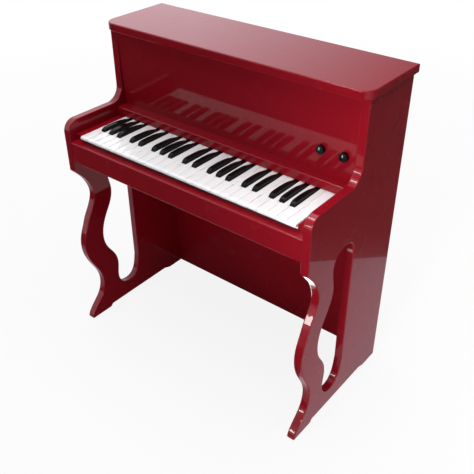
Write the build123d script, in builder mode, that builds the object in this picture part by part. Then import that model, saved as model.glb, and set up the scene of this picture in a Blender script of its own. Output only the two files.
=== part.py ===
"""Upright digital piano for a child: lacquered case, 44 small keys, two control knobs.

X runs to the player's right, Y runs from the player to the back, Z is up.
The origin is on the floor, under the middle of the piano's box.
"""
import os
from math import cos, radians, sin, tan

from build123d import *

# ---- driving dimensions, millimetres ----
board = 16              # side panels and key slip
thin_board = 12         # upper front panel and back panel
bed_thick = 15
lid_thick = 15
case_width = 564        # over the side panels
case_height = 632       # floor to the top of the lid
rear_y = 145            # rear edges of the side panels
edge_round = 2.0        # routed edges of the boards

lid_side_overhang = 4.5
lid_front_y = -9
lid_rear_y = 150
lid_corner = 25

arm_top = 478           # top of the side panels' arms beside the keys, at their rear
arm_top_front = 469     # the arms fall a little towards the player
arm_under = 371.5
arm_nose_round = 24
nose_y = -139           # front of the arms
upper_edge_y = 3        # front edges of the side panels under the lid
upper_edge_round = 29
foot_y = -150
foot_round = 2.5
toe_round = 8
floor_relief = 6        # side panels stand on a front and a rear pad
back_bottom = 9

slip_y = -138
slip_bottom = 393
slip_top = 435

rail_y = -13.5          # strip behind the keys
rail_bottom = 451.2
rail_top = 467
lean = 2.0              # upper front panel leans forward, degrees
panel_foot_y = 10       # its face at this height
panel_foot_z = 460

key_pitch = 19.0
white_count = 26        # F up to C, three and a half octaves
key_gap = 0.6
key_top = 450
key_depth = 12          # depth of the key mouldings
key_front_y = -129
lip_depth = 9           # the key's front lip stands over the key slip
lip_thick = 5
key_rear_y = 56
key_wall = 1.8
key_skin = 2.5          # top of the hollow mouldings
pocket_front = -112
pocket_rear = 38

pivot_y = 50
pivot_radius = 3.0
pivot_clearance = 0.05

black_width = 10.5
black_shift = 1.9       # outer black keys of a group stand off the joint
black_front_y = -86.5
black_cap_rear = -16
black_crown_y = -71
black_crown = 6.5
side_gap = 0.6          # black key to the white keys beside it

knob_radius = 8.0
knob_length = 7.5
knob_stand_off = 1.0
knob_places = (201.0, 245.0)
knob_z = 510.5
shaft_radius = 3.0
shaft_clearance = 0.05
bush_radius = 4.5

screw_xs = (-240, -120, 0, 120, 240)
screw_radius = 2.0
screw_head = 4.0
screw_length = 42
hole_play = 0.1

speaker_x = 150
speaker_z = 545
speaker_opening = 27    # radius

inlet_x, inlet_z = 215, 440
inlet_radius = 5.5
inlet_bore = 3.2
circuit_x, circuit_z = 170, 440

# ---- worked out ----
inner_x = case_width / 2 - board
under_lid = case_height - lid_thick
keys_left = -key_pitch * white_count / 2
key_bottom = key_top - key_depth
bed_top = slip_bottom + bed_thick
slip_inner_y = slip_y + board
back_inner_y = rear_y - thin_board
lean_slope = tan(radians(lean))


def panel_face_y(z):
    """Front face of the leaning upper front panel at the height z."""
    return panel_foot_y - (z - panel_foot_z) * lean_slope


os.makedirs("parts", exist_ok=True)


def keep(part, name):
    part.label = name
    export_step(part, f"parts/{name}.step")


# ---- side panels: console outline with a curved front leg and a tall cut-out ----
leg_curve = [(-124, 355), (-105, 325), (-100.5, 300), (-106.8, 281), (-110.9, 273), (-116.4, 264),
             (-121.6, 255), (-128, 240), (-139, 213), (-142, 190), (-131, 146), (-107, 92),
             (-109, 62), (-116, 47), (-130, 31), (-142, 18), (-148.5, 9)]
cut_rear_y = 2
cut_out = [(cut_rear_y, 340), (-5, 363), (-26, 371), (-53, 361), (-60, 336), (-54, 298), (-59, 272),
           (-76, 242), (-90, 202), (-84, 165), (-64, 131), (-59, 104), (-62, 70), (-50, 46.5), (-32, 41),
           (-16, 45), (-7, 56), (-2, 70), (cut_rear_y, 92)]
relief_outline = [(100, 0), (82, floor_relief), (-90, floor_relief), (-96, 0)]
rounded_corners = [((nose_y, arm_top_front), arm_nose_round), ((upper_edge_y, arm_top), upper_edge_round),
                   ((nose_y, arm_under), 5), ((foot_y, 0), foot_round),
                   ((foot_y, 2 * foot_round), toe_round)]

with BuildPart() as right_side_panel:
    with BuildSketch(Plane.YZ.offset(inner_x)) as outline:
        with BuildLine():
            Polyline(leg_curve[0], (nose_y, arm_under), (nose_y, arm_top_front),
                     (upper_edge_y, arm_top), (upper_edge_y, under_lid), (rear_y, under_lid), (rear_y, 0), *relief_outline,
                     (foot_y, 0), (foot_y, 2 * foot_round), leg_curve[-1])
            Spline(*leg_curve)
        make_face()
        for corner, radius in rounded_corners:
            fillet(outline.vertices().sort_by_distance((*corner, 0))[0], radius)
        with BuildLine():
            Spline(*cut_out)
            Line(cut_out[-1], cut_out[0])
        make_face(mode=Mode.SUBTRACT)
    extrude(amount=board)
    fillet(right_side_panel.faces().filter_by(Axis.X).edges(), edge_round)
keep(right_side_panel.part, "right_side_panel")

with BuildPart() as left_side_panel:
    add(right_side_panel.part)
    mirror(about=Plane.YZ, mode=Mode.REPLACE)
keep(left_side_panel.part, "left_side_panel")

# ---- lid: overhangs the case all round, round front corners ----
with BuildPart() as top_lid:
    with BuildSketch(Plane.XY.offset(under_lid)):
        with Locations((0, (lid_front_y + lid_rear_y) / 2)):
            Rectangle(case_width + 2 * lid_side_overhang, lid_rear_y - lid_front_y)
    extrude(amount=lid_thick)
    fillet(top_lid.edges().filter_by(Axis.Z).group_by(Axis.Y)[0], lid_corner)
    fillet(top_lid.faces().filter_by(Axis.Z).edges(), edge_round)
keep(top_lid.part, "top_lid")

# ---- upper front panel: leans forward, carries the two controls ----
knob_plane = Plane(origin=(0, panel_face_y(knob_z), knob_z), x_dir=(1, 0, 0),
                   z_dir=(0, -cos(radians(lean)), -sin(radians(lean))))
panel_low = rail_bottom + 0.8
with BuildPart() as upper_front_panel:
    with BuildSketch(Plane.YZ.offset(-inner_x)):
        with BuildLine():
            Polyline((panel_face_y(panel_low), panel_low), (panel_face_y(under_lid), under_lid),
                     (panel_face_y(under_lid) + thin_board, under_lid),
                     (panel_face_y(panel_low) + thin_board, panel_low), close=True)
        make_face()
    extrude(amount=2 * inner_x)
    with BuildSketch(knob_plane):
        with Locations(*[(x, 0) for x in knob_places]):
            Circle(bush_radius + hole_play)
    extrude(amount=-2 * thin_board, mode=Mode.SUBTRACT)
keep(upper_front_panel.part, "upper_front_panel")

# ---- strip behind the keys ----
with BuildPart() as name_rail:
    with BuildSketch(Plane.YZ.offset(-inner_x)):
        with BuildLine():
            Polyline((rail_y, rail_bottom), (rail_y, rail_top), (panel_face_y(rail_top), rail_top),
                     (panel_face_y(rail_bottom), rail_bottom), close=True)
        make_face()
    extrude(amount=2 * inner_x)
    fillet(name_rail.edges().filter_by(Axis.X).group_by(Axis.Y)[0].sort_by(Axis.Z)[-1], 1.5)
keep(name_rail.part, "name_rail")

# ---- key slip: the board in front of the keys ----
with BuildPart() as key_slip:
    with BuildSketch(Plane.YZ.offset(-inner_x)):
        with Locations((slip_y + board / 2, (slip_bottom + slip_top) / 2)):
            Rectangle(board, slip_top - slip_bottom)
    extrude(amount=2 * inner_x)
    fillet(key_slip.edges().filter_by(Axis.X).group_by(Axis.Y)[0], edge_round)
keep(key_slip.part, "key_slip")

# ---- key bed, with pilot holes for the screws that come through the back ----
screw_places = [(x, slip_bottom + bed_thick / 2) for x in screw_xs]
with BuildPart() as key_bed:
    with BuildSketch(Plane.XY.offset(slip_bottom)):
        with Locations((0, (slip_inner_y + back_inner_y) / 2)):
            Rectangle(2 * inner_x, back_inner_y - slip_inner_y)
    extrude(amount=bed_thick)
    with BuildSketch(Plane.XZ.offset(-back_inner_y)):
        with Locations(*screw_places):
            Circle(screw_radius + hole_play)
    extrude(amount=screw_length - thin_board, mode=Mode.SUBTRACT)
keep(key_bed.part, "key_bed")

# ---- back panel: screw holes, speaker openings, hole for the power inlet ----
countersink = screw_head - screw_radius
with BuildPart() as back_panel:
    with BuildSketch(Plane.XZ.offset(-back_inner_y)):
        with Locations((0, (back_bottom + under_lid) / 2)):
            Rectangle(2 * inner_x, under_lid - back_bottom)
        with Locations((-speaker_x, speaker_z), (speaker_x, speaker_z)):
            Circle(speaker_opening, mode=Mode.SUBTRACT)
        with Locations((inlet_x, inlet_z)):
            Circle(inlet_radius + 0.5, mode=Mode.SUBTRACT)
        with Locations(*screw_places):
            Circle(screw_radius + hole_play, mode=Mode.SUBTRACT)
    extrude(amount=-thin_board)
    with BuildSketch(Plane.XZ.offset(-rear_y)):
        with Locations(*screw_places):
            Circle(screw_head + hole_play)
    extrude(amount=countersink, taper=45, mode=Mode.SUBTRACT)
keep(back_panel.part, "back_panel")

# ---- screws: countersunk, cross recess, heads just under the back face ----
head_sink = 0.2
recess_long, recess_wide, recess_deep = 4.2, 0.9, 1.4
with BuildPart() as case_screws:
    for x, z in screw_places:
        head_plane = Plane(origin=(x, rear_y - head_sink, z), x_dir=(1, 0, 0), z_dir=(0, -1, 0))
        with BuildSketch(head_plane):
            Circle(screw_head - head_sink)
        extrude(amount=countersink, taper=45)
        with BuildSketch(head_plane.offset(1)):
            Circle(screw_radius)
        extrude(amount=screw_length - 2)
        with BuildSketch(head_plane):
            Rectangle(recess_long, recess_wide)
            Rectangle(recess_wide, recess_long)
        extrude(amount=recess_deep, mode=Mode.SUBTRACT)
keep(case_screws.part, "case_screws")

# ---- cheek blocks: ledges beside the last keys, just under their tops, higher under the strip ----
cheek_left = -keys_left + key_gap
cheek_top = key_top - 2
cheek_step_y = rail_y + 2
cheek_rear_y = panel_face_y(rail_bottom) + thin_board
with BuildPart() as cheek_blocks:
    with BuildSketch(Plane.YZ.offset(cheek_left)):
        with BuildLine():
            Polyline((slip_inner_y, bed_top), (slip_inner_y, cheek_top), (cheek_step_y, cheek_top),
                     (cheek_step_y, rail_bottom), (cheek_rear_y, rail_bottom), (cheek_rear_y, bed_top),
                     close=True)
        make_face()
    extrude(amount=inner_x - cheek_left)
    mirror(about=Plane.YZ)
keep(cheek_blocks.part, "cheek_blocks")


# ---- keys: hollow mouldings that rock on the key frame's ridge ----
def black_centre(joint):
    """X of the black key over the joint after that many white keys, or None where there is none."""
    shifts = {1: -black_shift, 2: 0, 3: black_shift, 5: -black_shift, 6: black_shift}
    place = joint % 7
    if joint <= 0 or joint >= white_count or place not in shifts:
        return None
    return keys_left + joint * key_pitch + shifts[place]


def white_tail(index):
    """Left and right limits of a white key's tail, between its black neighbours."""
    left, right = black_centre(index), black_centre(index + 1)
    start = keys_left + index * key_pitch
    tail_left = start + key_gap / 2 if left is None else left + black_width / 2 + side_gap
    tail_right = start + key_pitch - key_gap / 2 if right is None else right - black_width / 2 - side_gap
    return tail_left, tail_right


notch_y = black_front_y - 1.2
for index in range(white_count):
    head_left = keys_left + index * key_pitch + key_gap / 2
    head_right = head_left + key_pitch - key_gap
    tail_left, tail_right = white_tail(index)
    corners = [(head_left, key_front_y), (head_right, key_front_y)]
    if tail_right < head_right - 0.01:
        corners += [(head_right, notch_y), (tail_right, notch_y)]
    corners += [(tail_right, key_rear_y), (tail_left, key_rear_y)]
    if tail_left > head_left + 0.01:
        corners += [(tail_left, notch_y), (head_left, notch_y)]
    with BuildPart() as white_key:
        with BuildSketch(Plane.XY.offset(key_bottom)):
            with BuildLine():
                Polyline(*corners, close=True)
            make_face()
        extrude(amount=key_depth)
        with BuildSketch(Plane.XY.offset(key_bottom)):
            with Locations((head_left - 1, key_front_y - 1)):
                Rectangle(key_pitch + 2, lip_depth + 1, align=(Align.MIN, Align.MIN))
        extrude(amount=key_depth - lip_thick, mode=Mode.SUBTRACT)
        with BuildSketch(Plane.XY.offset(key_bottom)):
            with Locations((tail_left + key_wall, pocket_front)):
                Rectangle(tail_right - tail_left - 2 * key_wall, pocket_rear - pocket_front,
                          align=(Align.MIN, Align.MIN))
        extrude(amount=key_depth - key_skin, mode=Mode.SUBTRACT)
        with BuildSketch(Plane.YZ.offset(head_left - 1)):
            with Locations((pivot_y, key_bottom)):
                Circle(pivot_radius + pivot_clearance)
        extrude(amount=key_pitch + 2, mode=Mode.SUBTRACT)
    keep(white_key.part, f"white_key_{index + 1:02d}")

tail_top = key_top - 1.0        # black keys' tails run under the strip
cap_front = (black_front_y, key_top - 2)
cap_nose = (-82.6, key_top + 4.3)
cap_crown = (black_crown_y, key_top + black_crown)
cap_back = [(black_cap_rear, key_top - 0.2), (-26, key_top + 2.6), (-40, key_top + 5.3),
            (-55, key_top + 6.3), cap_crown]
black_pocket_front = black_crown_y
black_joints = [joint for joint in range(white_count) if black_centre(joint) is not None]
for number, joint in enumerate(black_joints, start=1):
    centre = black_centre(joint)
    with BuildPart() as black_key:
        with BuildSketch(Plane.YZ.offset(centre - black_width / 2)):
            with BuildLine():
                Polyline(cap_front, (black_front_y, key_bottom), (key_rear_y, key_bottom),
                         (key_rear_y, tail_top), (black_cap_rear, tail_top), cap_back[0])
                Spline(*cap_back, tangents=[(-1, 0.22), (-1, 0)])
                ThreePointArc(cap_crown, cap_nose, cap_front)
            make_face()
        extrude(amount=black_width)
        with BuildSketch(Plane.XY.offset(key_bottom)):
            with Locations((centre, black_pocket_front)):
                Rectangle(black_width - 2 * key_wall, pocket_rear - black_pocket_front,
                          align=(Align.CENTER, Align.MIN))
        extrude(amount=tail_top - key_skin - key_bottom, mode=Mode.SUBTRACT)
        with BuildSketch(Plane.YZ.offset(centre - black_width / 2)):
            with Locations((pivot_y, key_bottom)):
                Circle(pivot_radius + pivot_clearance)
        extrude(amount=black_width, mode=Mode.SUBTRACT)
    keep(black_key.part, f"black_key_{number:02d}")

# ---- key frame: floor, stop rail, contact board with its pads, and the ridge the keys rock on ----
frame_half = -keys_left
frame_front_y, frame_rear_y = slip_inner_y + 4, 70
frame_floor = bed_top + 3
stop_rail = (-108, 6, 430)              # y, thickness, top
contact_y = -70
board_z = 429                           # middle of the contact board
board_thick, board_deep = 2, 26
full_press = 2.0                        # degrees
pad_top = key_bottom - (pivot_y - contact_y) * sin(radians(full_press)) - 0.6
rib = 3
with BuildPart() as key_frame:
    with BuildSketch(Plane.XY.offset(bed_top)):
        with Locations((0, (frame_front_y + frame_rear_y) / 2)):
            Rectangle(2 * frame_half, frame_rear_y - frame_front_y)
    extrude(amount=frame_floor - bed_top)
    with BuildSketch(Plane.YZ.offset(-frame_half)):
        with Locations((stop_rail[0], (frame_floor + stop_rail[2]) / 2)):
            Rectangle(stop_rail[1], stop_rail[2] - frame_floor)
        with Locations((pivot_y, (frame_floor + key_bottom) / 2)):
            Rectangle(rib, key_bottom - frame_floor)
        with Locations((pivot_y, key_bottom)):
            Circle(pivot_radius)
        with Locations(*[(y, (frame_floor + board_z) / 2) for y in (contact_y - 9, contact_y + 9)]):
            Rectangle(rib, board_z - frame_floor)
        with Locations((contact_y, board_z)):
            Rectangle(board_deep, board_thick)
        with Locations((contact_y, (board_z + pad_top) / 2)):
            Rectangle(8, pad_top - board_z)
    extrude(amount=2 * frame_half)
keep(key_frame.part, "key_frame")

# ---- main circuit board inside the back, with the power inlet that reaches through it ----
stand_off = 10
circuit_thick = 1.6
post_places = [(circuit_x + dx, circuit_z + dz) for dx in (-58, 58) for dz in (-22, 22)]
chips = [(-20, 6, 22, 22, 3), (16, -16, 16, 8, 6), (-44, -14, 12, 8, 8)]     # x, z, wide, tall, high
circuit_plane = Plane.XZ.offset(stand_off - back_inner_y)
with BuildPart() as circuit_board:
    with BuildSketch(circuit_plane):
        with Locations((circuit_x, circuit_z)):
            Rectangle(130, 56)
    extrude(amount=circuit_thick)
    with BuildSketch(circuit_plane):
        with Locations(*post_places):
            Circle(3)
    extrude(amount=-stand_off)
    with BuildSketch(circuit_plane):
        with Locations((inlet_x, inlet_z)):
            Circle(inlet_radius)
    extrude(amount=-(stand_off + thin_board))
    with BuildSketch(Plane.XZ.offset(-rear_y)):
        with Locations((inlet_x, inlet_z)):
            Circle(inlet_bore)
    extrude(amount=11, mode=Mode.SUBTRACT)
    with BuildSketch(Plane.XZ.offset(-rear_y)):
        with Locations((inlet_x, inlet_z)):
            Circle(1)
    extrude(amount=11.5)
    for x, z, wide, tall, high in chips:
        with BuildSketch(circuit_plane.offset(circuit_thick)):
            with Locations((circuit_x + x, circuit_z + z)):
                Rectangle(wide, tall)
        extrude(amount=high)
keep(circuit_board.part, "circuit_board")

# ---- potentiometers behind the upper front panel ----
pot_radius = 8.5
pot_depth = 9
with BuildPart() as control_pots:
    for x in knob_places:
        bush_mouth = knob_plane.offset(0.6)
        with BuildSketch(bush_mouth):
            with Locations((x, 0)):
                Circle(bush_radius)
        extrude(amount=-(thin_board + 1))
        with BuildSketch(knob_plane.offset(-thin_board)):
            with Locations((x, 0)):
                Circle(pot_radius)
        extrude(amount=-pot_depth)
        with BuildSketch(bush_mouth):
            with Locations((x, 0)):
                Circle(shaft_radius + shaft_clearance)
        extrude(amount=-(thin_board + 6), mode=Mode.SUBTRACT)
keep(control_pots.part, "control_pots")

# ---- knobs, each with its shaft; fluted round the side, with a raised pointer ----
flute_count = 18
flute_radius = 0.9
pointer_wide, pointer_high = 1.6, 0.6


def make_knob(x, name):
    with BuildPart() as knob:
        with BuildSketch(knob_plane.offset(knob_stand_off)):
            with Locations((x, 0)):
                Circle(knob_radius)
        extrude(amount=knob_length)
        fillet(knob.edges().sort_by(Axis.Y)[0], 1.4)
        with BuildSketch(knob_plane.offset(knob_stand_off)):
            with Locations((x, 0)):
                with PolarLocations(knob_radius + 0.6, flute_count):
                    Circle(flute_radius)
        extrude(amount=knob_length - 2.5, mode=Mode.SUBTRACT)
        with BuildSketch(knob_plane.offset(knob_stand_off + knob_length)):
            with Locations((x, knob_radius / 2 - 0.5)):
                Rectangle(pointer_wide, knob_radius - 3.5)
        extrude(amount=pointer_high)
        with BuildSketch(knob_plane.offset(knob_stand_off + 0.3)):
            with Locations((x, 0)):
                Circle(shaft_radius)
        extrude(amount=-(thin_board + 4))
    keep(knob.part, name)


make_knob(knob_places[0], "volume_knob")
make_knob(knob_places[1], "tone_knob")

# ---- loudspeakers: rim on the inner face of the back panel, cone, basket and magnet ----
speaker_section = [(0, -4), (6, -6), (10, -10), (24, -1.5), (27, -3), (29, 0), (38, 0), (38, -2.5),
                   (32, -2.5), (19, -15), (19, -17), (25, -17), (25, -29), (0, -29)]
with BuildPart() as loudspeakers:
    for x in (-speaker_x, speaker_x):
        centre = (x, back_inner_y, speaker_z)
        with BuildSketch(Plane(origin=centre, x_dir=(1, 0, 0), z_dir=(0, 0, 1))):
            with BuildLine():
                Polyline(*speaker_section, close=True)
            make_face()
        revolve(axis=Axis(centre, (0, 1, 0)))
keep(loudspeakers.part, "loudspeakers")
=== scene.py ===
from math import cos, pi, radians, sin

import bmesh
import bpy
from mathutils import Matrix, Vector


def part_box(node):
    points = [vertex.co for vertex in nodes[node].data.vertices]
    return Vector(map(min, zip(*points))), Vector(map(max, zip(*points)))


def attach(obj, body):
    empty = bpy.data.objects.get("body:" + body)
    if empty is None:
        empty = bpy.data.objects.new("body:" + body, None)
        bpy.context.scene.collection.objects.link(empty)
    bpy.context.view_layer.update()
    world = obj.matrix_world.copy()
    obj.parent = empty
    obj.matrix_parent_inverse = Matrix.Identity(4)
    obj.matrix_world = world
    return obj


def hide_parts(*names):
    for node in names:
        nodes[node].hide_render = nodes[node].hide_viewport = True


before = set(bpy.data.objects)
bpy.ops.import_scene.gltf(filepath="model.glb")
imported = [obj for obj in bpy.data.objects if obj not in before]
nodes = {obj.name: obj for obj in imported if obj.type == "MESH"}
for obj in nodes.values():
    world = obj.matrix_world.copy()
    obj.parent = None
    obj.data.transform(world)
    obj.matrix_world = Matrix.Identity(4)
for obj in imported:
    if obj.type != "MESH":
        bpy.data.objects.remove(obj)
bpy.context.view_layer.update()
scene = bpy.context.scene
scene.view_settings.view_transform = "Standard"
print("frame loaded:", len(nodes), "nodes")


# one output socket, so that maths on sockets reads as plain Python
class Flow:
    def __init__(self, tree, socket):
        self.tree, self.socket = tree, socket

    def maths(self, operation, *terms):
        return self.tree.node("ShaderNodeMath", {"operation": operation}, dict(enumerate(terms)))

    def __add__(self, other):
        return self.maths("ADD", self, other)

    def __radd__(self, other):
        return self.maths("ADD", other, self)

    def __sub__(self, other):
        return self.maths("SUBTRACT", self, other)

    def __rsub__(self, other):
        return self.maths("SUBTRACT", other, self)

    def __mul__(self, other):
        return self.maths("MULTIPLY", self, other)

    def __rmul__(self, other):
        return self.maths("MULTIPLY", other, self)

    def __truediv__(self, other):
        return self.maths("DIVIDE", self, other)

    def __rtruediv__(self, other):
        return self.maths("DIVIDE", other, self)

    def __pow__(self, other):
        return self.maths("POWER", self, other)

    def clamped(self):
        return self.tree.node("ShaderNodeClamp", {}, {0: self, 1: 0.0, 2: 1.0})

    def other(self, name):                # another output of the same node
        return Flow(self.tree, self.socket.node.outputs[name])


# a node tree that is filled through one method, for shaders and for geometry alike
class Bench:
    def __init__(self, tree):
        self.tree = tree

    def node(self, kind, settings=None, inputs=None, out=0):
        made = self.tree.nodes.new(kind)
        for key, value in (settings or {}).items():
            if key == "stops":
                ramp = made.color_ramp
                while len(ramp.elements) < len(value):
                    ramp.elements.new(0.5)
                for element, (place, colour) in zip(ramp.elements, value):
                    element.position = place
                    element.color = (*colour, 1.0)
            elif key == "curve":
                line = made.mapping.curves[0]
                while len(line.points) < len(value):
                    line.points.new(0.5, 0.5)
                for point, place in zip(line.points, value):
                    point.location = place
                made.mapping.update()
            else:
                setattr(made, key, value)
        for key, value in (inputs or {}).items():
            if isinstance(value, Flow):
                self.tree.links.new(value.socket, made.inputs[key])
            elif isinstance(value, list):
                for part in value:
                    self.tree.links.new(part.socket, made.inputs[key])
            else:
                made.inputs[key].default_value = value
        return Flow(self, made.outputs[out]) if len(made.outputs) else None

    def vector(self, operation, *terms, out=0):
        return self.node("ShaderNodeVectorMath", {"operation": operation}, dict(enumerate(terms)), out)

    def mixed(self, factor, first, second, blend="MIX"):
        return self.node("ShaderNodeMix", {"data_type": "RGBA", "blend_type": blend},
                         {0: factor, 6: first, 7: second}, 2)

    def noise(self, place, scale, detail):
        return self.node("ShaderNodeTexNoise", {}, {"Vector": place, "Scale": scale, "Detail": detail})

    def bumped(self, height, strength, distance):
        return self.node("ShaderNodeBump", {}, {"Strength": strength, "Distance": distance, "Height": height})

    def combined(self, x, y, z):
        return self.node("ShaderNodeCombineXYZ", {}, {0: x, 1: y, 2: z})


def colour(r, g, b):
    return (r, g, b, 1.0)


# finishes
def newMaterial(name):
    material = bpy.data.materials.new(name)
    material.use_nodes = True
    material.node_tree.nodes.clear()
    return material, Bench(material.node_tree)


def closeMaterial(material, bench, inputs):
    shader = bench.node("ShaderNodeBsdfPrincipled", {}, inputs)
    bench.node("ShaderNodeOutputMaterial", {}, {"Surface": shader})
    return material


lacquerLook = {
    "deep": (0.226, 0.0036, 0.0104),
    "bright": (0.254, 0.0044, 0.0119),
    "cloudScale": 5.0,                    # slow drift of the sprayed colour
    "speckScale": 900.0, "speckShare": 0.2,
    "peelScale": 190.0,                   # orange peel of the sprayed lacquer
    "peelHeight": 0.000014,
    "peelStrength": 0.25,
    "hazeScale": 22.0,
    "roughness": (0.20, 0.32),
    "gloss": 0.03,
    "coat": 0.46,
    "coatRoughness": 0.025,
}


def makeLacquer(look):
    material, bench = newMaterial("redLacquer")
    place = bench.node("ShaderNodeTexCoord", out="Object")
    cloud = bench.noise(place, look["cloudScale"], 3.0)
    speck = bench.noise(place, look["speckScale"], 2.0)
    tone = (cloud * (1.0 - look["speckShare"]) + speck * look["speckShare"]).clamped()
    paint = bench.mixed(tone, colour(*look["deep"]), colour(*look["bright"]))
    haze = bench.noise(place, look["hazeScale"], 5.0)
    low, high = look["roughness"]
    rough = haze * (high - low) + low
    peel = bench.noise(place, look["peelScale"], 1.0)
    bump = bench.bumped(peel, look["peelStrength"], look["peelHeight"])
    return closeMaterial(material, bench, {
        "Base Color": paint, "Roughness": rough, "Normal": bump, "Specular IOR Level": look["gloss"],
        "Coat Weight": look["coat"], "Coat Roughness": look["coatRoughness"], "Coat IOR": 1.5,
    })


# low and high are the ends of each moulding's colour drift
mouldedLooks = {
    "whiteKey": {
        "low": (0.86, 0.87, 0.88), "high": (0.90, 0.91, 0.92), "roughness": (0.18, 0.28),
        "grain": 700.0, "height": 0.00002, "coat": 0.3, "gloss": 0.5,
    },
    "blackKey": {
        "low": (0.0022, 0.0020, 0.0024), "high": (0.0042, 0.0038, 0.0044), "roughness": (0.20, 0.30),
        "grain": 500.0, "height": 0.00002, "coat": 0.12, "gloss": 0.04,
    },
    "knobPlastic": {
        "low": (0.0025, 0.0025, 0.003), "high": (0.0045, 0.0045, 0.005), "roughness": (0.22, 0.34),
        "grain": 1400.0, "height": 0.00003, "coat": 0.20, "gloss": 0.04,
    },
    "frameMoulding": {
        "low": (0.035, 0.035, 0.037), "high": (0.055, 0.055, 0.058), "roughness": (0.45, 0.60),
        "grain": 900.0, "height": 0.00008, "coat": 0.0, "gloss": 0.5,
    },
    "speakerPaper": {
        "low": (0.014, 0.014, 0.015), "high": (0.030, 0.029, 0.028), "roughness": (0.70, 0.90),
        "grain": 350.0, "height": 0.00025, "coat": 0.0, "gloss": 0.3,
    },
    "dustCap": {
        "low": (0.010, 0.010, 0.011), "high": (0.016, 0.016, 0.017), "roughness": (0.38, 0.50),
        "grain": 600.0, "height": 0.00006, "coat": 0.0, "gloss": 0.5,
    },
    "surroundRubber": {
        "low": (0.006, 0.006, 0.006), "high": (0.010, 0.010, 0.010), "roughness": (0.32, 0.45),
        "grain": 900.0, "height": 0.00005, "coat": 0.0, "gloss": 0.5,
    },
    "pointerPaint": {
        "low": (0.50, 0.50, 0.49), "high": (0.62, 0.62, 0.61), "roughness": (0.35, 0.50),
        "grain": 1600.0, "height": 0.00002, "coat": 0.0, "gloss": 0.5,
    },
}
mouldedCommon = {"flowScale": 18.0, "bumpStrength": 0.3, "coatRoughness": 0.06}


def makeMoulded(name, look, common=mouldedCommon):
    material, bench = newMaterial(name)
    place = bench.node("ShaderNodeTexCoord", out="Object")
    flow = bench.noise(place, common["flowScale"], 4.0)
    grain = bench.noise(place, look["grain"], 2.0)
    body = bench.mixed((flow * 0.7 + grain * 0.3).clamped(), colour(*look["low"]), colour(*look["high"]))
    low, high = look["roughness"]
    rough = flow * (high - low) + low
    bump = bench.bumped(grain, common["bumpStrength"], look["height"])
    return closeMaterial(material, bench, {
        "Base Color": body, "Roughness": rough, "Normal": bump, "Specular IOR Level": look["gloss"],
        "Coat Weight": look["coat"], "Coat Roughness": common["coatRoughness"],
    })


steelLook = {
    "dark": (0.42, 0.42, 0.43), "light": (0.62, 0.62, 0.63), "roughness": (0.22, 0.42),
    "brushing": (90.0, 1400.0, 90.0),     # finest across the turning
    "bumpStrength": 0.2, "height": 0.00003,
}


def makeSteel(look):
    material, bench = newMaterial("platedSteel")
    place = bench.node("ShaderNodeTexCoord", out="Object")
    stretched = bench.vector("MULTIPLY", place, look["brushing"])
    brushed = bench.noise(stretched, 1.0, 3.0)
    plate = bench.mixed(brushed, colour(*look["dark"]), colour(*look["light"]))
    low, high = look["roughness"]
    bump = bench.bumped(brushed, look["bumpStrength"], look["height"])
    rough = brushed * (high - low) + low
    return closeMaterial(material, bench, {
        "Base Color": plate, "Roughness": rough, "Normal": bump, "Metallic": 1.0,
    })


circuitLook = {
    "mask": (0.012, 0.085, 0.030), "copper": (0.030, 0.150, 0.052), "traceScale": 140.0, "traceEdge": 0.62,
    "maskRoughness": 0.45, "tracePolish": 0.1, "pinPolish": 0.15, "bumpStrength": 0.4, "traceHeight": 0.00005,
    "moulding": (0.012, 0.012, 0.013), "pin": (0.60, 0.59, 0.57),
    "inletX": 0.215, "inletZ": 0.440, "inletRadius": 0.0058, "pinRadius": 0.0012,
    "boardBack": 0.1232,                  # behind this the node is the inlet's socket
}


def makeCircuit(look):
    material, bench = newMaterial("circuitMask")
    place = bench.node("ShaderNodeTexCoord", out="Object")
    flat = bench.vector("MULTIPLY", place, (1.0, 0.0, 1.0))
    lines = bench.node("ShaderNodeTexVoronoi", {"distance": "MANHATTAN", "feature": "F1"},
                       {"Vector": flat, "Scale": look["traceScale"]}, "Distance")
    trace = lines.maths("GREATER_THAN", lines, look["traceEdge"])
    board = bench.mixed(trace, colour(*look["mask"]), colour(*look["copper"]))
    sideways = bench.vector("SUBTRACT", flat, (look["inletX"], 0.0, look["inletZ"]))
    fromAxis = bench.vector("LENGTH", sideways, out="Value")
    depth = bench.node("ShaderNodeSeparateXYZ", {}, {0: place}, "Y")
    behind = depth.maths("GREATER_THAN", depth, look["boardBack"])
    near = fromAxis.maths("LESS_THAN", fromAxis, look["inletRadius"])
    pin = behind * fromAxis.maths("LESS_THAN", fromAxis, look["pinRadius"])
    socket = bench.mixed(behind * near, board, colour(*look["moulding"]))
    paint = bench.mixed(pin, socket, colour(*look["pin"]))
    bump = bench.bumped(trace, look["bumpStrength"], look["traceHeight"])
    rough = look["maskRoughness"] - trace * look["tracePolish"] - pin * look["pinPolish"]
    return closeMaterial(material, bench, {
        "Base Color": paint, "Roughness": rough, "Normal": bump, "Metallic": pin,
    })


redLacquer = makeLacquer(lacquerLook)
moulded = {name: makeMoulded(name, look) for name, look in mouldedLooks.items()}
platedSteel = makeSteel(steelLook)
circuitMask = makeCircuit(circuitLook)
print("finishes made")


# boards: a merged copy of each CAD board, broad faces flat and routed edges smooth
boardShading = {"merge": 0.000002, "planar": radians(0.15), "flatArea": 0.0007, "sharpAngle": radians(34)}


def finishPiece(piece, body, materials, replaced):
    piece.data.materials.clear()
    for material in materials:
        piece.data.materials.append(material)
    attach(piece, body)
    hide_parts(*replaced)


def linkMesh(name, mesh):
    piece = bpy.data.objects.new(name, mesh)
    scene.collection.objects.link(piece)
    return piece


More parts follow.
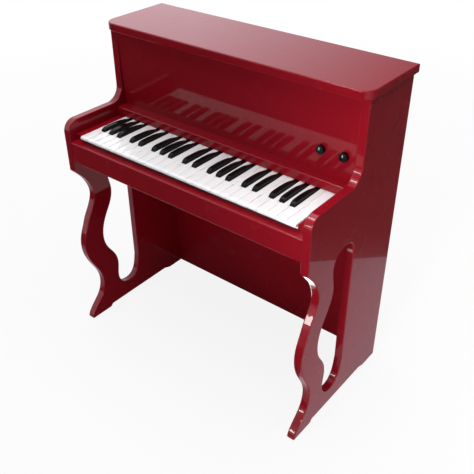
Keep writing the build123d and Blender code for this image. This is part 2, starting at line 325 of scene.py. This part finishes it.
def shadeByArea(work, shading):
    for edge in work.edges:
        edge.smooth = not (edge.is_manifold and edge.calc_face_angle() > shading["sharpAngle"])
    for face in work.faces:
        face.smooth = face.calc_area() < shading["flatArea"]


def mergedCopy(name, nodeName, shading=boardShading):
    work = bmesh.new()
    work.from_mesh(nodes[nodeName].data)
    bmesh.ops.remove_doubles(work, verts=work.verts, dist=shading["merge"])
    bmesh.ops.dissolve_limit(work, angle_limit=shading["planar"], verts=work.verts, edges=work.edges)
    shadeByArea(work, shading)
    mesh = bpy.data.meshes.new(name)
    work.to_mesh(mesh)
    work.free()
    return linkMesh(name, mesh)


lacquered = ("left_side_panel", "right_side_panel", "top_lid", "upper_front_panel", "name_rail",
             "key_slip", "key_bed", "back_panel", "cheek_blocks")
touching = 0.0001                        # closer than this counts as on a face
slipPitch = 0.0025                       # the key slip's top rises this much towards the keys
armLevel = {"rear": -0.024, "front": -0.116, "above": 0.43, "lift": 0.0058}     # the arms run out level
eveningWeight = 60                       # the broad faces hold the normals of their rounded edges


def pitchTop(board, rise):
    top = max(vertex.co.z for vertex in board.data.vertices)
    back = max(vertex.co.y for vertex in board.data.vertices)
    for vertex in board.data.vertices:
        if vertex.co.z > top - touching and vertex.co.y > back - touching:
            vertex.co.z += rise


def levelArm(board, look):
    for vertex in board.data.vertices:
        if vertex.co.z > look["above"]:
            share = (look["rear"] - vertex.co.y) / (look["rear"] - look["front"])
            vertex.co.z += look["lift"] * min(max(share, 0.0), 1.0)


for nodeName in lacquered:
    pieceName = "lacquered" + "".join(word.capitalize() for word in nodeName.split("_"))
    board = mergedCopy(pieceName, nodeName)
    if nodeName == "key_slip":
        pitchTop(board, slipPitch)
    if nodeName.endswith("side_panel"):
        levelArm(board, armLevel)
    evening = board.modifiers.new("evening", "WEIGHTED_NORMAL")
    evening.mode = "FACE_AREA"
    evening.weight = eveningWeight
    evening.keep_sharp = True
    finishPiece(board, "case", [redLacquer], [nodeName])
print("boards finished")


# keys: one geometry tree makes every white key, another every black one
def newShapeTree(name, inputNames):
    tree = bpy.data.node_groups.new(name, "GeometryNodeTree")
    for inputName in inputNames:
        tree.interface.new_socket(inputName, in_out="INPUT", socket_type="NodeSocketFloat")
    tree.interface.new_socket("Finish", in_out="INPUT", socket_type="NodeSocketMaterial")
    tree.interface.new_socket("Shape", in_out="OUTPUT", socket_type="NodeSocketGeometry")
    bench = Bench(tree)
    given = bench.node("NodeGroupInput")
    return tree, bench, {inputName: given.other(inputName) for inputName in [*inputNames, "Finish"]}


def closeShapeTree(bench, shape, finish):
    real = bench.node("GeometryNodeRealizeInstances", {}, {"Geometry": shape})
    painted = bench.node("GeometryNodeSetMaterial", {}, {"Geometry": real, "Material": finish})
    bench.node("NodeGroupOutput", {}, {"Shape": painted})


def growBox(bench, low, high):
    size = bench.combined(*(b - a for a, b in zip(low, high)))
    middle = bench.combined(*((a + b) * 0.5 for a, b in zip(low, high)))
    block = bench.node("GeometryNodeMeshCube", {}, {"Size": size})
    return bench.node("GeometryNodeTransform", {}, {"Geometry": block, "Translation": middle})


def makeFromTree(name, tree, values, finish):
    carrier = linkMesh(name + "Carrier", bpy.data.meshes.new(name + "Carrier"))
    shaper = carrier.modifiers.new("shape", "NODES")
    shaper.node_group = tree
    sockets = {item.name: item.identifier for item in tree.interface.items_tree if item.in_out == "INPUT"}
    for inputName, value in {**values, "Finish": finish}.items():
        shaper[sockets[inputName]] = value
    bpy.context.view_layer.update()
    mesh = bpy.data.meshes.new_from_object(carrier.evaluated_get(bpy.context.evaluated_depsgraph_get()))
    mesh.name = name
    bpy.data.objects.remove(carrier)
    return linkMesh(name, mesh)


def roundEdges(piece, shape):
    for face in piece.data.polygons:
        face.use_smooth = True
    rounding = piece.modifiers.new("rounding", "BEVEL")
    rounding.width = shape["edge"]
    rounding.segments = shape["segments"]
    rounding.limit_method = "ANGLE"
    rounding.angle_limit = radians(shape["roundAbove"])
    rounding.harden_normals = True


whiteKeyShape = {
    "lipDepth": 0.009, "lipThick": 0.0056,
    "lipRound": 0.0034, "lipSegments": 6,   # the lip's front edge rolls over further than the others
    "edge": 0.0006, "segments": 3, "roundAbove": 30,
    "notchBack": 0.0012,                    # white heads reach this close to the black keys' fronts
    "lap": 0.001,                           # lip, head and tail run into each other by this much
    "pastNotch": 0.01,                      # from here back a key is only its tail
}
blackKeyShape = {
    # height over the white keys against the distance from the front, both in metres
    "profile": [(0.0, -0.0020), (0.0007, 0.0014), (0.0036, 0.0043), (0.0080, 0.0060), (0.0155, 0.0065),
                (0.0315, 0.0063), (0.0465, 0.0053), (0.0605, 0.0026), (0.0705, -0.0002)],
    "taper": 0.13, "tailDrop": 0.0010, "lap": 0.0005,
    "edge": 0.0013, "segments": 4, "roundAbove": 40,
    "steps": 30, "closing": 1.7,            # closer steps over the nose
}


def makeWhiteKeyTree(shape):
    names = ["Head Left", "Head Right", "Tail Left", "Tail Right", "Front", "Notch", "Rear", "Bottom", "Top"]
    tree, bench, given = newShapeTree("whiteKeyTree", names)
    lipBack = given["Front"] + shape["lipDepth"]
    lip = growBox(bench, (given["Head Left"], given["Front"], given["Top"] - shape["lipThick"]),
                  (given["Head Right"], lipBack + shape["lap"], given["Top"]))
    head = growBox(bench, (given["Head Left"], lipBack, given["Bottom"]),
                   (given["Head Right"], given["Notch"], given["Top"]))
    tail = growBox(bench, (given["Tail Left"], given["Notch"] - shape["lap"], given["Bottom"]),
                   (given["Tail Right"], given["Rear"], given["Top"]))
    whole = bench.node("GeometryNodeMeshBoolean", {"operation": "UNION", "solver": "EXACT"},
                       {"Mesh 2": [lip, head, tail]})
    closeShapeTree(bench, whole, given["Finish"])
    return tree


def makeBlackKeyTree(shape):
    names = ["Middle", "Width", "Front", "Cap Rear", "Rear", "Bottom", "White Top"]
    tree, bench, given = newShapeTree("blackKeyTree", names)
    profile = shape["profile"]
    nose = profile[0][1]
    length, rise = profile[-1][0], max(height for along, height in profile) - nose
    line = [(along / length, (height - nose) / rise) for along, height in profile]
    block = bench.node("GeometryNodeMeshCube", {}, {"Size": (1.0, 1.0, 1.0), "Vertices X": 2,
                                                    "Vertices Y": shape["steps"], "Vertices Z": 2})
    place = bench.node("GeometryNodeInputPosition")
    across = bench.node("ShaderNodeSeparateXYZ", {}, {0: place}, "X")
    along = (across.other("Y") + 0.5) ** shape["closing"]
    upward = across.other("Z") + 0.5
    height = bench.node("ShaderNodeFloatCurve", {"curve": line}, {"Value": along})
    top = given["White Top"] + nose + height * rise
    z = given["Bottom"] + upward * (top - given["Bottom"])
    y = given["Front"] + along * (given["Cap Rear"] - given["Front"])
    x = given["Middle"] + across * given["Width"] * (1.0 - upward * shape["taper"])
    cap = bench.node("GeometryNodeSetPosition", {}, {"Geometry": block, "Position": bench.combined(x, y, z)})
    half = given["Width"] * 0.5
    tail = growBox(bench, (given["Middle"] - half, given["Cap Rear"] - shape["lap"], given["Bottom"]),
                   (given["Middle"] + half, given["Rear"], given["White Top"] - shape["tailDrop"]))
    both = bench.node("GeometryNodeJoinGeometry", {}, {"Geometry": [cap, tail]})
    closeShapeTree(bench, both, given["Finish"])
    return tree


def rollLip(piece, shape):
    mesh = piece.data
    front = min(vertex.co.y for vertex in mesh.vertices)
    top = max(vertex.co.z for vertex in mesh.vertices)
    weights = mesh.attributes.new("bevel_weight_edge", "FLOAT", "EDGE")
    for edge, weight in zip(mesh.edges, weights.data):
        ends = [mesh.vertices[index].co for index in edge.vertices]
        weight.value = float(all(end.y < front + touching and end.z > top - touching for end in ends))
    rolling = piece.modifiers.new("rolling", "BEVEL")
    rolling.width = shape["lipRound"]
    rolling.segments = shape["lipSegments"]
    rolling.limit_method = "WEIGHT"
    rolling.harden_normals = True


whiteKeyTree = makeWhiteKeyTree(whiteKeyShape)
blackKeyTree = makeBlackKeyTree(blackKeyShape)
whiteNames = sorted(name for name in nodes if name.startswith("white_key"))
blackNames = sorted(name for name in nodes if name.startswith("black_key"))
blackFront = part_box(blackNames[0])[0].y
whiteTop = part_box(whiteNames[0])[1].z
capRear = blackFront + blackKeyShape["profile"][-1][0]


def keySides(nodeName, tailStart):
    low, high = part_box(nodeName)
    tailXs = [vertex.co.x for vertex in nodes[nodeName].data.vertices if vertex.co.y > tailStart]
    return low.x, high.x, min(tailXs), max(tailXs)


notch = blackFront - whiteKeyShape["notchBack"]
for number, nodeName in enumerate(whiteNames, start=1):
    low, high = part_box(nodeName)
    headLeft, headRight, tailLeft, tailRight = keySides(nodeName, notch + whiteKeyShape["pastNotch"])
    values = {"Head Left": headLeft, "Head Right": headRight, "Tail Left": tailLeft, "Tail Right": tailRight,
              "Front": low.y, "Notch": notch, "Rear": high.y, "Bottom": low.z, "Top": high.z}
    key = makeFromTree(f"whiteKey{number:02d}", whiteKeyTree, values, moulded["whiteKey"])
    rollLip(key, whiteKeyShape)
    roundEdges(key, whiteKeyShape)
    finishPiece(key, nodeName, [moulded["whiteKey"]], [nodeName])
for number, nodeName in enumerate(blackNames, start=1):
    low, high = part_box(nodeName)
    values = {"Middle": (low.x + high.x) / 2, "Width": high.x - low.x, "Front": low.y, "Cap Rear": capRear,
              "Rear": high.y, "Bottom": low.z, "White Top": whiteTop}
    key = makeFromTree(f"blackKey{number:02d}", blackKeyTree, values, moulded["blackKey"])
    roundEdges(key, blackKeyShape)
    finishPiece(key, nodeName, [moulded["blackKey"]], [nodeName])
print("keys made:", len(whiteNames), "white,", len(blackNames), "black")


# knobs: fluted caps with a painted pointer
knobShape = {"merge": 0.000002, "planar": radians(0.15), "flatArea": 0.00002, "sharpAngle": radians(38),
             "lean": radians(2.0), "paintDepth": 0.00035}


def paintPointer(knob, shape):
    outward = Vector((0.0, -cos(shape["lean"]), -sin(shape["lean"])))
    heights = [face.center.dot(outward) for face in knob.data.polygons]
    for face, height in zip(knob.data.polygons, heights):
        face.material_index = 1 if height > max(heights) - shape["paintDepth"] else 0


for nodeName, pieceName in (("volume_knob", "flutedVolumeKnob"), ("tone_knob", "flutedToneKnob")):
    knob = mergedCopy(pieceName, nodeName, knobShape)
    finishPiece(knob, nodeName, [moulded["knobPlastic"], moulded["pointerPaint"]], [nodeName])
    paintPointer(knob, knobShape)
print("knobs finished")


# loudspeakers: dust cap, paper cone, half-round surround and rim, turned about each opening's axis
speakerShape = {
    "cap": [(0.0, -0.0034), (0.003, -0.0037), (0.006, -0.0047), (0.008, -0.0060), (0.0094, -0.0080)],
    "cone": [(0.0098, -0.0098), (0.013, -0.0083), (0.017, -0.0061), (0.0205, -0.0040), (0.022, -0.0030)],
    "surround": [(0.0224, -0.0034), (0.0229, -0.0021), (0.0239, -0.0011), (0.0249, -0.0008),
                 (0.0259, -0.0011), (0.0269, -0.0021), (0.0274, -0.0032)],
    "basket": [(0.0288, -0.0032), (0.029, 0.0), (0.038, 0.0), (0.038, -0.0025), (0.032, -0.0025),
               (0.019, -0.015), (0.019, -0.017), (0.025, -0.017), (0.025, -0.029), (0.0, -0.029)],
    "steps": 72,
    "sharpAngle": radians(45),
}


def turnSpeaker(work, centre, shape):
    profile = [(point, slot) for slot, part in enumerate(("cap", "cone", "surround", "basket"))
               for point in shape[part]]
    rings = []
    for (radius, depth), slot in profile:
        turns = [2 * pi * step / shape["steps"] for step in range(shape["steps"] if radius else 1)]
        places = [centre + Vector((radius * cos(turn), depth, radius * sin(turn))) for turn in turns]
        rings.append([work.verts.new(place) for place in places])
    for inner, outer, (point, slot) in zip(rings, rings[1:], profile[1:]):
        for step in range(shape["steps"]):
            after = (step + 1) % shape["steps"]
            corners = [inner[step % len(inner)], outer[step % len(outer)],
                       outer[after % len(outer)], inner[after % len(inner)]]
            face = work.faces.new(list(dict.fromkeys(corners)))
            face.material_index = slot


def makeSpeakers(shape):
    low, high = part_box("loudspeakers")
    halfWide = (high.z - low.z) / 2
    work = bmesh.new()
    for x in (low.x + halfWide, high.x - halfWide):
        turnSpeaker(work, Vector((x, high.y, (low.z + high.z) / 2)), shape)
    bmesh.ops.recalc_face_normals(work, faces=work.faces)
    for face in work.faces:
        face.smooth = True
    for edge in work.edges:
        edge.smooth = edge.calc_face_angle(0.0) < shape["sharpAngle"]
    mesh = bpy.data.meshes.new("speakerPair")
    work.to_mesh(mesh)
    work.free()
    speakers = linkMesh("speakerPair", mesh)
    finishes = [moulded[name] for name in ("dustCap", "speakerPaper", "surroundRubber", "frameMoulding")]
    finishPiece(speakers, "case", finishes, ["loudspeakers"])


makeSpeakers(speakerShape)
print("loudspeakers made")


# nodes that keep their CAD shape and only get a finish
carried = {
    "key_frame": moulded["frameMoulding"], "circuit_board": circuitMask,
    "control_pots": platedSteel, "case_screws": platedSteel,
}
for nodeName, material in carried.items():
    nodes[nodeName].data.materials.clear()
    nodes[nodeName].data.materials.append(material)
print("carried nodes finished")


# camera: from the right front, looking down
cameraSetup = {"azimuth": 38.85, "elevation": 34.21, "roll": -0.26, "lens": 51.45, "sensor": 36.0,
               "place": (0.7165, -0.8532, 1.0127)}


def makeCamera(setup):
    azimuth, elevation, roll = (radians(setup[key]) for key in ("azimuth", "elevation", "roll"))
    forward = Vector((-sin(azimuth) * cos(elevation), cos(azimuth) * cos(elevation), -sin(elevation)))
    right = forward.cross(Vector((0, 0, 1))).normalized()
    up = right.cross(forward)
    rightRolled = cos(roll) * right + sin(roll) * up
    upRolled = cos(roll) * up - sin(roll) * right
    lens = bpy.data.cameras.new("viewCamera")
    lens.lens = setup["lens"]
    lens.sensor_width = setup["sensor"]
    camera = bpy.data.objects.new("viewCamera", lens)
    turned = Matrix((rightRolled, upRolled, -forward)).transposed().to_4x4()
    camera.matrix_world = Matrix.Translation(Vector(setup["place"])) @ turned
    scene.collection.objects.link(camera)
    scene.camera = camera


makeCamera(cameraSetup)


# lamps
lamps = {
    "softTop": {"place": (0.10, -0.15, 3.40), "aim": (0.10, -0.15, 0.0),
                "size": 3.2, "power": 111.0, "spread": 180},
    "keyLamp": {"place": (0.48, -1.30, 1.00), "aim": (0.60, 0.0, 0.52),
                "size": 0.3, "power": 2.0, "spread": 46},
    "lowFill": {"place": (1.10, -0.50, 0.15), "aim": (0.28, -0.05, 0.04),
                "size": 0.3, "power": 0.30, "spread": 60},
    "frontFill": {"place": (-0.20, -2.20, 0.90), "aim": (0.0, 0.0, 0.45),
                  "size": 1.2, "power": 1.2, "spread": 70},
}


def makeLamp(name, setup):
    light = bpy.data.lights.new(name, "AREA")
    light.size = setup["size"]
    light.energy = setup["power"]
    light.spread = radians(setup["spread"])
    lamp = bpy.data.objects.new(name, light)
    lamp.visible_camera = False
    place, aim = Vector(setup["place"]), Vector(setup["aim"])
    turned = (aim - place).to_track_quat("-Z", "Y").to_matrix().to_4x4()
    lamp.matrix_world = Matrix.Translation(place) @ turned
    scene.collection.objects.link(lamp)


for name, setup in lamps.items():
    makeLamp(name, setup)


# pale room: white to the camera, softer for the light that falls on the piano
roomLook = {
    "ambient": 0.09, "reflected": (0.14, 2.05), "cast": (1.0, 0.98, 1.06),
    "sweepFrom": -0.30, "sweepRate": 2.9,   # reflections brighten towards the left of the room
}


def makeRoom(look):
    world = bpy.data.worlds.new("paleRoom")
    scene.world = world
    world.use_nodes = True
    world.node_tree.nodes.clear()
    bench = Bench(world.node_tree)
    rays = bench.node("ShaderNodeLightPath", out="Is Camera Ray")
    glossy = rays.other("Is Glossy Ray")
    heading = bench.node("ShaderNodeTexCoord", out="Generated")
    side = bench.node("ShaderNodeSeparateXYZ", {}, {0: heading}, "X")
    dim, bright = look["reflected"]
    sweep = ((look["sweepFrom"] - side) * look["sweepRate"]).clamped()
    shine = sweep * (bright - dim) + dim
    strength = rays + (1.0 - rays) * (glossy * shine + (1.0 - glossy) * look["ambient"])
    cast = bench.mixed(glossy, colour(1, 1, 1), colour(*look["cast"]))
    sky = bench.node("ShaderNodeBackground", {}, {"Color": cast, "Strength": strength})
    bench.node("ShaderNodeOutputWorld", {}, {"Surface": sky})


makeRoom(roomLook)


# pale paper floor, which keeps the piano's shadow and turns white further out
floorLook = {
    "half": 9.0, "drop": 0.0004, "paper": (0.88, 0.88, 0.88), "fibreScale": 3.0, "fibreTone": 0.98,
    "whiteShare": 0.88, "mirrored": 0.80, "cast": (1.0, 0.94, 1.04), "fadeFrom": 0.6, "fadeOver": 1.6,
}


def makeFloor(look):
    half, depth = look["half"], -look["drop"]
    mesh = bpy.data.meshes.new("studioFloor")
    corners = [(-half, -half, depth), (half, -half, depth), (half, half, depth), (-half, half, depth)]
    mesh.from_pydata(corners, [], [(0, 1, 2, 3)])
    floor = linkMesh("studioFloor", mesh)
    material, bench = newMaterial("palePaper")
    place = bench.node("ShaderNodeTexCoord", out="Object")
    fibre = bench.noise(place, look["fibreScale"], 2.0)
    darker = [look["fibreTone"] * part for part in look["paper"]]
    paper = bench.mixed(fibre, colour(*look["paper"]), colour(*darker))
    diffuse = bench.node("ShaderNodeBsdfDiffuse", {}, {"Color": paper})
    seen = bench.node("ShaderNodeLightPath", out="Is Camera Ray")
    mirrored = seen.other("Is Glossy Ray") + seen.other("Is Transmission Ray")
    tint = bench.mixed(mirrored, colour(1, 1, 1), colour(*look["cast"]))
    strength = seen + mirrored * look["mirrored"]
    glow = bench.node("ShaderNodeEmission", {}, {"Color": tint, "Strength": strength})
    away = (bench.vector("LENGTH", place, out="Value") - look["fadeFrom"]) / look["fadeOver"]
    share = seen * (away.clamped() * (1.0 - look["whiteShare"]) + look["whiteShare"]) + mirrored
    cover = bench.node("ShaderNodeMixShader", {}, {0: share, 1: diffuse, 2: glow})
    bench.node("ShaderNodeOutputMaterial", {}, {"Surface": cover})
    floor.data.materials.append(material)


makeFloor(floorLook)


# dark cards on the floor, seen only in reflections: painted dark reflections that keep the lacquer deep where
# a studio's flags would; the knee card is painted shade for the floor in the piano's shadow
floorCards = {
    "frontCard": {"glow": 0.035, "height": 0.001,
                  "outline": [(-3.0, -0.34), (-3.0, -3.0), (1.2, -3.0), (1.2, -0.9), (0.42, -0.34)]},
    # painted shade: the shadowed floor under the piano, as the back panel and the legs reflect it
    "kneeCard": {"glow": 0.045, "height": 0.001,
                 "outline": [(-0.273, -0.34), (0.215, -0.34), (0.215, 0.14), (-0.273, 0.14)]},
    "rightCard": {"glow": 0.10, "height": 0.001,
                  "outline": [(-3.0, 0.70), (0.20, 0.70), (0.62, 0.28), (2.6, 0.28),
                              (2.6, 3.2), (-3.0, 3.2)]},
}
# two small bright cards under the keyboard lift the lower edge of the key slip and the hollow of the leg
bedCards = {
    "slipGlint": {"glow": 0.9, "height": 0.30,
                  "outline": [(-0.262, -0.13), (0.19, -0.13), (0.19, 0.0), (-0.262, 0.0)]},
    "legGlint": {"glow": 6.0, "height": 0.30,
                 "outline": [(0.235, -0.1035), (0.264, -0.1035), (0.264, -0.06), (0.235, -0.06)]},
}
# two narrow bright cards draw the glints along the routed edges
glintCards = {
    "frontGlint": {"middle": (-2.70, -7.05, 2.38), "tilt": 75, "size": (1.40, 0.44), "glow": 34.0},
    "topGlint": {"middle": (-0.53, -0.50, 2.15), "tilt": 10, "size": (0.28, 0.19), "glow": 34.0},
}


def glowingCard(name, corners, glow):
    mesh = bpy.data.meshes.new(name)
    mesh.from_pydata(corners, [], [tuple(range(len(corners)))])
    card = linkMesh(name, mesh)
    material, bench = newMaterial(name + "Glow")
    bounced = bench.node("ShaderNodeLightPath", out="Diffuse Depth")
    strength = (1.0 - bounced).clamped() * glow          # no stray sparks by way of the floor
    shine = bench.node("ShaderNodeEmission", {}, {"Color": colour(1, 1, 1), "Strength": strength})
    bench.node("ShaderNodeOutputMaterial", {}, {"Surface": shine})
    card.data.materials.append(material)
    card.visible_camera = False
    card.visible_diffuse = False
    card.visible_shadow = False
    card.visible_transmission = False


def layCard(name, look):
    glowingCard(name, [(x, y, look["height"]) for x, y in look["outline"]], look["glow"])


def hangCard(name, look):
    wide, deep = (0.5 * side for side in look["size"])
    turn = Matrix.Translation(look["middle"]) @ Matrix.Rotation(radians(look["tilt"]), 4, "X")
    corners = [turn @ Vector((x * wide, y * deep, 0.0)) for x, y in ((-1, -1), (1, -1), (1, 1), (-1, 1))]
    glowingCard(name, corners, look["glow"])


for name, look in {**floorCards, **bedCards}.items():
    layCard(name, look)
for name, look in glintCards.items():
    hangCard(name, look)
print("room lit")

bpy.context.view_layer.update()
